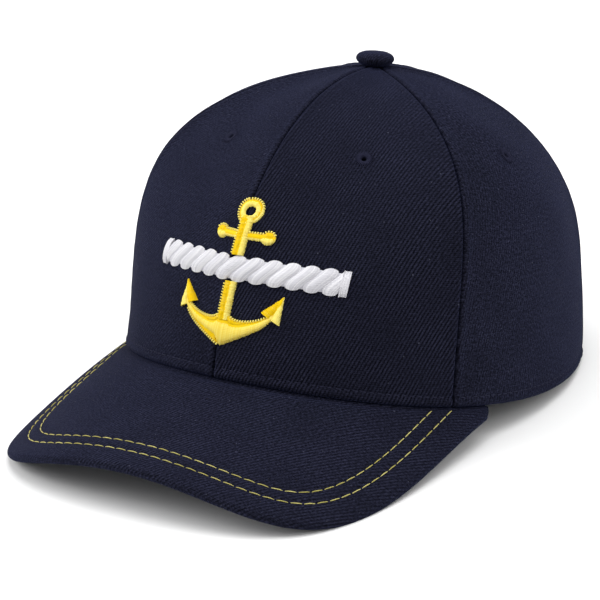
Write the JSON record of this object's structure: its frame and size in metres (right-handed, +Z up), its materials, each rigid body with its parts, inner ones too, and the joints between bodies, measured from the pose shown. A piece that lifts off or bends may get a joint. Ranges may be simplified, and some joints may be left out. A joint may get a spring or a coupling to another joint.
{
  "type": "skipper cap",
  "caption": "Panelled navy skipper cap with a bent peak, covered button, stitched eyelets, strap at the back, and an anchor with a rope embroidered on the front.",
  "frame": {"origin": "middle of the box that holds the cap, on the surface it rests on", "axes": "+Z up, +Y from the peak to the back of the head, +X towards the wearer's left"},
  "size_m": [0.169, 0.2568, 0.1247],
  "materials": {
    "navy_twill": "woven twill, matt",
    "peak_twill": "woven twill over a stiff board, matt",
    "band_cotton": "plain woven cotton tape, matt",
    "navy_thread": "polyester embroidery thread, slight sheen",
    "gold_thread": "satin stitch thread, soft sheen",
    "white_thread": "satin stitch thread, soft sheen"
  },
  "bodies": {
    "root": {"front_panel_left": "navy_twill", "front_panel_right": "navy_twill", "side_panel_left": "navy_twill", "side_panel_right": "navy_twill", "back_panel_left": "navy_twill", "back_panel_right": "navy_twill", "peak": "peak_twill", "button": "navy_twill", "sweatband": "band_cotton", "arch_tape": "band_cotton", "back_strap": "navy_twill", "front_eyelet_left": "navy_thread", "front_eyelet_right": "navy_thread", "side_eyelet_left": "navy_thread", "side_eyelet_right": "navy_thread", "back_eyelet_left": "navy_thread", "back_eyelet_right": "navy_thread", "anchor_top_embroidery": "gold_thread", "anchor_arms_embroidery": "gold_thread", "rope_embroidery": "white_thread"}
  },
  "joints": []
}
